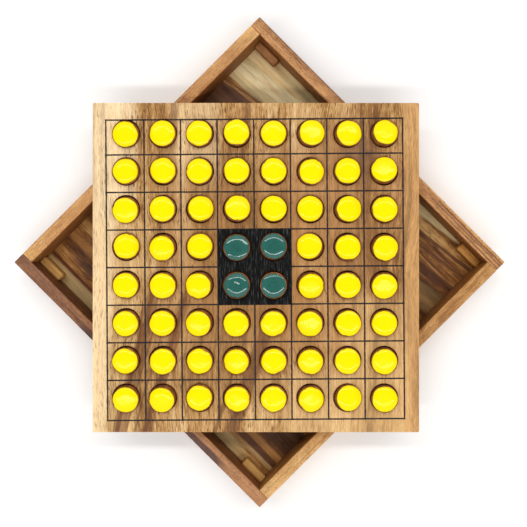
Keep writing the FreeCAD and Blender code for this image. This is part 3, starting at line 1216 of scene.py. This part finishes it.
        def height(x: float, y: float, share: float, size: float) -> float:
            """How high the paint lies at one point.

            Args:
                x: its place along the disc's own x.
                y: its place along y.
                share: how far out it is, 0 at the middle to 1 at the paint's edge.
                size: the paint's radius in its direction.

            Returns:
                Its height.
            """
            fall = self._fall(share) * size * plump + x * lean[0] + y * lean[1]
            for px, py, wide, tall in lumps:
                fall += tall * math.exp(-((x - px) ** 2 + (y - py) ** 2) / wide**2)
            return crown - up * max(fall, 0.0)

        def spot(index: int, reach: float) -> Spot:
            """A point in the direction of one side."""
            angle = TURN * index / self.sides
            return reach * math.cos(angle), reach * math.sin(angle)

        shares = [0.04 * step for step in range(1, 13)] + [0.5 + 0.02 * step for step in range(17)]
        middle = form.corner(0.0, 0.0, height(0.0, 0.0, 0.0, 1.0))
        rings = []
        for share in [*shares, 0.86, 0.9, 0.94, 0.97, 1.0]:
            ring = []
            for index, size in enumerate(outline):
                x, y = spot(index, share * (even + (size - even) * share**3))
                ring.append(form.mesh.verts.new((x, y, height(x, y, share, size))))
            rings.append(ring)
        rings.append(
            [
                form.mesh.verts.new((*spot(index, size + 0.05), rings[-1][index].co.z - up * 0.22))
                for index, size in enumerate(outline)
            ]
        )
        form.band([middle] * self.sides, rings[0], finish)
        form.tube(rings, finish)
        return rings[-1]

    def _disc(
        self, cell: str, node: str, floor: float, finishes: Dict[Grain, bpy.types.Material]
    ) -> None:
        """Builds one disc.

        Args:
            cell: its cell.
            node: the CAD node that it is, or is half of.
            floor: the height of its underside.
            finishes: its wood and its two paints.
        """
        column, row = ord(cell[0]) - ord("a"), int(cell[1]) - 1
        dice = random.Random(100 * row + column + 7)
        form = Form()
        uneven = self.lumpy.get(cell, 1.0)
        rings = [self._dome(form, 1.0, self.height, 1, dice, uneven, self.pits.get(cell, ()))]
        lower = self._dome(form, -1.0, 0.0, 2, dice)
        bends = [math.radians(22.5 * step) for step in range(1, 5)]
        levels = [
            (self.radius - self.turning * (1 - math.sin(bend)), self.turning * (1 - math.cos(bend)))
            for bend in bends
        ]
        profile = [(radius, self.wood_top - fall) for radius, fall in levels]
        profile += [(self.radius, self.height * (1 - level)) for level in (0.36, 0.5, 0.64)]
        profile += [(radius, self.height - self.wood_top + fall) for radius, fall in levels[::-1]]
        rings += [form.ring(radius, z, self.sides) for radius, z in profile]
        form.tube([*rings, lower])
        face, other = Face.YELLOW, Face.GREEN
        if cell in self.green:
            face, other = other, face
        seed = form.mesh.verts.layers.float.new("disc_seed")
        number = dice.uniform(0, 1)
        for vert in form.mesh.verts:
            vert[seed] = number
        place = self._stand(cell, floor, dice)
        peak = max((place @ (vert.co * MM)).z for vert in form.mesh.verts)
        place = Matrix.Translation((0.0, 0.0, min(0.0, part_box(node)[1].z - peak))) @ place
        dressed = [finishes["wood"], finishes[face], finishes[other]]
        piece = form.object(f"disc_{cell}", dressed, place, sharp=48.0)
        stand_in(piece, node, node)

    def build(self) -> None:
        """Builds every disc."""
        finishes = {
            "wood": DISC_TIMBER.material(),
            Face.YELLOW: YELLOW_ENAMEL.material(),
            Face.GREEN: GREEN_ENAMEL.material(),
        }
        for node in sorted(frame["nodes"]):
            if node.startswith("disc"):
                for cell in node.split("_")[1:]:
                    self._disc(cell, node, node_box(node)[0].z, finishes)


@dataclass
class Studio:
    """The camera, the lights and the pale floor."""

    eye: Tuple[float, float, float] = (7.78, 18.16, 542.0)  # where the camera stands
    lens: float = 48.63  # its focal length on a 36 mm sensor
    shift: Spot = (-0.0408, -0.0218)
    roll: float = 45.0  # its turn, so that the board lies square in the picture, in degrees
    light_reach: float = 1.5  # how far the soft boxes stand from the middle, in metres
    light_angle: float = 22.0  # how far they lean from straight above, in degrees
    light_size: Spot = (2.2, 0.14)  # a soft box's width and height, in metres
    light_power: float = 9.0  # in watts
    sky: Spot = (0.3, 0.9)  # how bright the room is overhead and at the sides, and fore and aft
    sky_edge: Spot = (0.26, 0.4)  # where one turns into the other, as the sine of an angle
    floor_radius: float = 6000.0

    def build(self) -> None:
        """Sets the studio up."""
        scene = bpy.context.scene
        scene.view_settings.view_transform = "Standard"
        scene.view_settings.look = "None"
        self._camera(scene)
        self._softbox("softbox_back", 1.0)
        self._softbox("softbox_front", -1.0)
        self._surroundings(scene)
        self._floor()

    def _camera(self, scene: bpy.types.Scene) -> None:
        """Stands the camera straight above.

        Args:
            scene: the scene that it serves.
        """
        data = bpy.data.cameras.new("camera")
        data.lens = self.lens
        data.sensor_width = 36.0
        data.shift_x, data.shift_y = self.shift
        data.clip_start = 0.01
        data.clip_end = 50.0
        camera = bpy.data.objects.new("camera", data)
        camera.location = Vector(self.eye) * MM
        camera.rotation_euler = (0.0, 0.0, math.radians(self.roll))
        scene.collection.objects.link(camera)
        scene.camera = camera

    def _back(self) -> Vector:
        """The level direction towards the board's back."""
        return Vector((-math.sin(math.radians(self.roll)), math.cos(math.radians(self.roll)), 0.0))

    def _softbox(self, name: str, side: float) -> None:
        """Hangs one soft box.

        Args:
            name: its name.
            side: 1 for the one beyond the board's back, -1 for the one before its front.
        """
        data = bpy.data.lights.new(name, "AREA")
        data.shape = "RECTANGLE"
        data.size, data.size_y = self.light_size
        data.energy = self.light_power
        data.color = (1.0, 0.985, 0.965)
        light = bpy.data.objects.new(name, data)
        angle = math.radians(self.light_angle)
        direction = self._back() * math.sin(angle) * side + Vector((0.0, 0.0, math.cos(angle)))
        light.location = direction * self.light_reach
        light.rotation_euler = light.location.to_track_quat("Z", "Y").to_euler()
        bpy.context.scene.collection.objects.link(light)

    def _surroundings(self, scene: bpy.types.Scene) -> None:
        """Fills the room with even white light.

        Args:
            scene: the scene that it fills.
        """
        room = Shader(bpy.data.worlds.new("white_room"))
        direction = room.node("ShaderNodeTexCoord", output="Generated")
        settings = {"operation": "DOT_PRODUCT"}
        level = abs(room.node("ShaderNodeVectorMath", settings, {0: direction, 1: self._back()}, 1))
        start, stop = self.sky_edge
        dark, bright = self.sky
        share = ((level - start) / (stop - start)).most(0.0).least(1.0)
        inputs = {"Color": (1.0, 0.995, 0.985), "Strength": share * (bright - dark) + dark}
        background = room.node("ShaderNodeBackground", None, inputs)
        scene.world = room.close(background, "ShaderNodeOutputWorld")

    def _floor(self) -> None:
        """Lays the pale sheet."""
        form = Form()
        reaches = [self.floor_radius * (step + 1) / 13 for step in range(13)]
        rings = [form.ring(reach, 0.0, 48) for reach in reaches]
        form.panel(rings[0])
        form.tube(rings)
        form.object("studio_floor", [StudioPaper().material()], Matrix.Identity(4))


# --------------------------------------------------------------------------------------- finishes


BOARD_STOPS = (
    (0.1, paint(108, 65, 26)), (0.32, paint(151, 107, 53)), (0.5, paint(184, 140, 84)),
    (0.68, paint(204, 165, 112)), (0.92, paint(228, 197, 150)),
)

CREAM = (230, 199, 153)

DARK_HEART = (114, 70, 34)

WALL_TIMBERS: Dict[str, Timber] = {
    "left": Timber(
        "wall_left_wood",
        tones((146, 96, 54), (176, 126, 76), (190, 140, 88), (210, 164, 110)),
        Grain.ALONG_Y, seed=31.0, band=9.0, band_depth=0.8, figure=1.8, figure_depth=0.6,
        fibre_depth=0.8, mottle_depth=0.8, drift=3.0, pore=paint(120, 62, 38), pore_share=0.75,
        pore_length=1.6, pore_strength=0.5, roughness=0.52,
        streaks=(
            Streak(0.0, 0.0, 9.0, 104, FAR, (212, 166, 106), 0.7, 1.5),
            Streak(0.0, 0.0, 9.0, -FAR, -108, (206, 160, 98), 0.7, 1.5),
        ),
    ),
    "back": Timber(
        "wall_back_wood",
        tones((126, 82, 50), (166, 117, 73), (187, 136, 87), (208, 158, 107)),
        Grain.ALONG_X, seed=57.0, band=8.0, band_depth=0.9, figure=1.4, figure_depth=0.9,
        fibre_depth=0.9, mottle_depth=0.6, drift=3.0, pore=paint(78, 44, 26), pore_share=0.8,
        pore_length=1.8, roughness=0.52,
        streaks=(
            Streak(4.6, 0.0, 1.2, -FAR, -30, (116, 78, 66), 0.75, 0.5, 1.0),
            Streak(4.4, 0.0, 1.2, 45, FAR, (206, 158, 98), 0.8, 0.5, 1.0),
            Streak(1.6, 0.0, 0.6, 60, FAR, (112, 70, 44), 0.8, 0.8, 0.6),
            Streak(-0.6, 0.004, 0.5, 50, FAR, (118, 74, 46), 0.8, 0.8, 0.6),
            Streak(-2.6, -0.002, 0.5, 66, FAR, (122, 80, 50), 0.75, 0.8, 0.6),
        ),
    ),
    "front": Timber(
        "wall_front_wood",
        tones((108, 70, 48), (140, 96, 66), (160, 112, 76), (182, 132, 92)),
        Grain.ALONG_X, seed=83.0, band=10.0, band_depth=0.9, figure=1.8, figure_depth=0.8,
        fibre_depth=0.8, mottle_depth=0.7, drift=4.0, pore=paint(80, 46, 34), pore_share=0.75,
        pore_length=1.7, roughness=0.52,
        streaks=(
            Streak(0.0, 0.0, 9.0, -FAR, -80, (134, 92, 68), 0.6, 1.5),
            Streak(0.0, 0.0, 9.0, 50, FAR, (178, 128, 86), 0.6, 1.5),
            Streak(-2.6, 0.0, 2.7, -60, 84, (88, 62, 54), 0.95, 1.2, 1.4, tilt=0.4),
        ),
    ),
    "right": Timber(
        "wall_right_wood",
        tones((146, 98, 52), (178, 131, 76), (194, 148, 92), (216, 176, 120)),
        Grain.ALONG_Y, seed=109.0, band=9.0, band_depth=1.0, figure=2.4, figure_depth=0.6,
        fibre_depth=0.7, mottle_depth=0.8, drift=5.0, pore=paint(112, 66, 36), pore_share=0.7,
        pore_length=1.7, roughness=0.52,
        streaks=(Streak(0.0, 0.0, 9.0, -FAR, -100, (206, 163, 106), 0.75, 1.5),),
    ),
}

FLOOR_TIMBER = Timber(
    "floor_wood",
    (
        (0.1, paint(72, 38, 15)), (0.35, paint(114, 69, 29)), (0.55, paint(148, 98, 48)),
        (0.75, paint(177, 129, 72)), (0.95, paint(206, 164, 106)),
    ),
    Grain.ALONG_X, seed=140.0, band=20.0, band_depth=1.6, figure=3.4, figure_depth=1.3,
    fibre_depth=0.7, drift=12.0, pore=paint(74, 42, 22), pore_share=0.6, pore_length=6.0,
    pores_first=True, roughness=0.6,
    streaks=(
        Streak(78.0, 0.13, 14.0, -FAR, -30, (104, 70, 52), 0.85, 3.0, 5.0),
        Streak(126.0, 0.158, 26.0, -FAR, FAR, (205, 183, 135), 0.92, 3.2, 2.5),
        Streak(112.0, 0.158, 5.0, -FAR, -50, (230, 212, 168), 0.7, 5.0, 4.0),
        Streak(112.0, 0.0, 2.2, -98, -84, (176, 130, 74), 0.6, 3.0, 3.0),
        Streak(104.5, 0.0, 1.6, -108, -98, (176, 128, 72), 0.6, 3.0, 2.4),
        Streak(99.0, 0.0, 1.9, -92, -80, (178, 132, 76), 0.65, 3.0, 2.4),
        Streak(92.0, 0.1, 1.4, -104, -90, (182, 140, 86), 0.6, 3.0, 2.4),
        Streak(106.0, 0.0, 1.5, -84, -70, (180, 136, 80), 0.6, 3.0, 2.4),
        Streak(97.4, 0.158, 0.7, -FAR, -50, (104, 66, 38), 0.85, 1.2, 0.8),
        Streak(95.0, 0.158, 0.5, -FAR, -50, (176, 136, 88), 0.8, 1.2, 0.7),
        Streak(92.0, 0.13, 1.3, 30, FAR, (78, 44, 24), 0.85, 1.5, 1.5),
        Streak(84.0, 0.13, 0.9, 30, FAR, (86, 50, 28), 0.8, 1.5, 1.2),
        Streak(71.0, 0.13, 3.2, 40, FAR, (78, 42, 22), 0.85, 2.6),
        Streak(55.0, 0.13, 9.0, 40, FAR, (138, 108, 66), 0.8, 3.0),
        Streak(-115.5, 0.0, 8.0, -FAR, 88, (180, 154, 108), 0.85, 1.4, 1.2),
        Streak(-105.6, 0.0, 0.8, -FAR, 60, (96, 46, 26), 0.85, 0.7, 0.8),
        Streak(-96.3, 0.0, 3.0, -98, 40, (78, 46, 34), 0.8, 1.6, 2.0),
        Streak(-86.0, 0.0, 3.2, -FAR, 40, (152, 104, 54), 0.7, 2.0, 2.0),
        Streak(-105.2, 0.0, 1.6, 88, FAR, (168, 138, 92), 0.9, 0.8, 1.0),
        Streak(-101.3, 0.0, 2.2, 60, FAR, (78, 44, 26), 0.85, 0.9, 1.2),
        Streak(-95.6, 0.0, 2.6, 60, FAR, (166, 116, 60), 0.85, 1.0, 1.5),
        Streak(-80.0, 0.0, 12.0, 50, FAR, (64, 32, 12), 0.85, 3.0, 4.0),
    ),
)

LEDGE_BASE = Timber(
    "ledge_wood",
    tones((142, 98, 48), (174, 128, 68), (194, 148, 84), (214, 170, 106)),
    Grain.ALONG_X, seed=171.0, band=5.0, band_depth=1.0, figure=1.6, figure_depth=0.9,
    fibre_depth=0.6, drift=2.0, pore=paint(104, 66, 34), pore_share=0.5, pore_length=3.0,
    roughness=0.6,
)

LEDGE_TIMBERS: Dict[str, Timber] = {
    "front_left": replace(LEDGE_BASE, name="ledge_front_left_wood", seed=171.0),
    "front_right": replace(LEDGE_BASE, name="ledge_front_right_wood", seed=188.0),
    "back_left": replace(
        LEDGE_BASE, name="ledge_back_left_wood", seed=203.0,
        stops=tones((116, 72, 38), (146, 98, 56), (164, 114, 70), (188, 144, 104)),
    ),
    "back_right": replace(
        LEDGE_BASE, name="ledge_back_right_wood", seed=229.0,
        stops=tones((128, 78, 30), (160, 106, 46), (180, 124, 58), (200, 146, 78)),
    ),
}

BOARD_TIMBER = PrintedTimber(
    "board_wood", BOARD_STOPS, Grain.ALONG_Y, seed=260.0, band=24.0, band_length=150.0,
    band_depth=1.15, figure=2.4, figure_depth=1.0, fibre_depth=0.95, mottle_depth=0.5,
    drift=22.0, pore=paint(88, 52, 24), pore_share=0.55, pore_length=4.6, pore_strength=0.7,
    roughness=0.5,
    streaks=(
        Streak(-112.0, 0.05, 13.0, -FAR, FAR, CREAM, 0.86, 4.0, 4.0),
        Streak(-112.0, 0.05, 13.0, -FAR, FAR, CREAM, 0.42, 4.0, 4.0, True),
        Streak(-94.0, 0.0, 12.0, -FAR, 30, (216, 180, 124), 0.5, 5.0, 8.0),
        Streak(0.0, 0.06, 66.0, -90, 84, (160, 115, 65), 0.52, 7.0, 40.0),
        Streak(-4.0, 0.0, 38.0, -48, 60, (148, 101, 48), 0.55, 6.0, 18.0),
        Streak(-42.0, 0.0, 16.0, 62, FAR, (224, 190, 142), 0.6, 6.0, 10.0),
        Streak(-56.0, 0.2, 16.0, -64, 2, (158, 111, 60), 0.5, 6.0, 10.0),
        Streak(38.0, 0.0, 34.0, -70, 34, (168, 120, 62), 0.35, 8.0, 16.0),
        Streak(-98.0, 0.0, 14.0, 38, FAR, (234, 206, 164), 0.6, 5.0, 8.0),
        Streak(-66.0, 0.26, 4.6, -FAR, -4, DARK_HEART, 0.66, 3.0, 1.6),
        Streak(-42.0, 0.3, 3.8, -FAR, -12, DARK_HEART, 0.62, 3.0, 1.6),
        Streak(-67.5, 0.26, 1.5, -FAR, -8, DARK_HEART, 0.85, 1.8, 0.8),
        Streak(-60.0, 0.27, 0.7, -FAR, -30, DARK_HEART, 0.7, 1.6, 0.7),
        Streak(-43.0, 0.3, 1.5, -FAR, -14, DARK_HEART, 0.9, 1.8, 0.8),
        Streak(-53.0, 0.28, 0.8, -FAR, -24, DARK_HEART, 0.6, 1.6, 0.8),
        Streak(22.0, 0.34, 5.0, -FAR, -38, DARK_HEART, 0.8, 3.0),
        Streak(6.0, 0.3, 1.2, -FAR, -56, DARK_HEART, 0.7, 2.4, 1.4),
        Streak(-68.0, 0.1, 3.2, 76, FAR, DARK_HEART, 0.55, 1.8),
        Streak(-12.0, 0.05, 2.6, 84, FAR, DARK_HEART, 0.55, 1.8),
        Streak(-62.0, 0.03, 4.5, 0, 80, (162, 116, 68), 0.5, 3.0),
        Streak(-24.0, 0.06, 8.0, 28, 66, (168, 120, 70), 0.55, 4.0, 5.0),
        Streak(66.0, 0.0, 52.0, 8, 84, (164, 114, 66), 0.5, 7.0, 20.0, True),
        Streak(40.0, 0.0, 84.0, -56, -4, (160, 112, 64), 0.4, 7.0, 20.0, True),
        Streak(56.0, 0.0, 20.0, 68, 100, (156, 110, 64), 0.6, 6.0, 8.0, True),
        Streak(72.0, 0.0, 12.0, 62, 98, (124, 84, 54), 0.6, 7.0, 8.0, True),
        Streak(68.0, 0.0, 19.0, -12, 12, (150, 100, 54), 0.65, 5.0, 6.0),
        Streak(40.0, 0.0, 20.0, -FAR, -76, (206, 166, 112), 0.7, 7.0, 12.0, True),
        Streak(84.0, 0.0, 24.0, -FAR, -24, (206, 164, 108), 0.65, 7.0, 12.0, True),
        Streak(112.0, 0.0, 9.0, -FAR, FAR, (196, 148, 92), 0.65, 2.0, 5.0, True),
    ),
)

# A darker brown for the holes' walls and floors: painted shade in the deep narrow gap round each disc.
BORED_SHADE_TIMBER = Timber(
    "bored_hole_painted_shade_wood",
    tones((78, 40, 18), (110, 62, 30), (134, 82, 44), (158, 104, 62)),
    Grain.ALONG_Y, seed=260.0, band=21.0, band_depth=0.8,
    figure=1.6, figure_depth=0.8, fibre_depth=0.8, drift=16.0, pore=paint(60, 30, 16),
    pore_share=0.7, pore_length=2.0, roughness=0.75, rub=0.0,
)

DISC_TIMBER = Timber(
    "disc_side_wood",
    tones((94, 52, 20), (130, 78, 36), (152, 96, 48), (180, 124, 70)),
    Grain.ALONG_Z, seed=301.0, band=6.0, band_depth=0.8,
    figure=1.2, figure_depth=0.8, fibre_depth=0.6, drift=1.0, pore=paint(92, 52, 26),
    pore_share=0.5, pore_length=2.0, roughness=0.6, rub=0.0,
)

YELLOW_ENAMEL = Enamel(
    "yellow_enamel", (0.94, 0.76, 0.0), (0.95, 0.775, 0.0), paint(226, 176, 6), mottle=0.06,
    roughness=0.13, gloss=1.24,
)

GREEN_ENAMEL = Enamel(
    "green_enamel", paint(36, 98, 90), paint(30, 92, 82), paint(34, 70, 58), mottle=0.9,
    roughness=0.07, gloss=1.55,
)


def main() -> None:
    """Sets up the studio and builds the object, sub-assembly by sub-assembly."""
    logging.basicConfig(level=logging.INFO, format="%(message)s")
    Studio().build()
    StorageTray().build()
    board = PlayingBoard()
    board.build()
    DiscSet(board).build()
    bpy.context.view_layer.update()


if __name__ == "__main__":
    main()
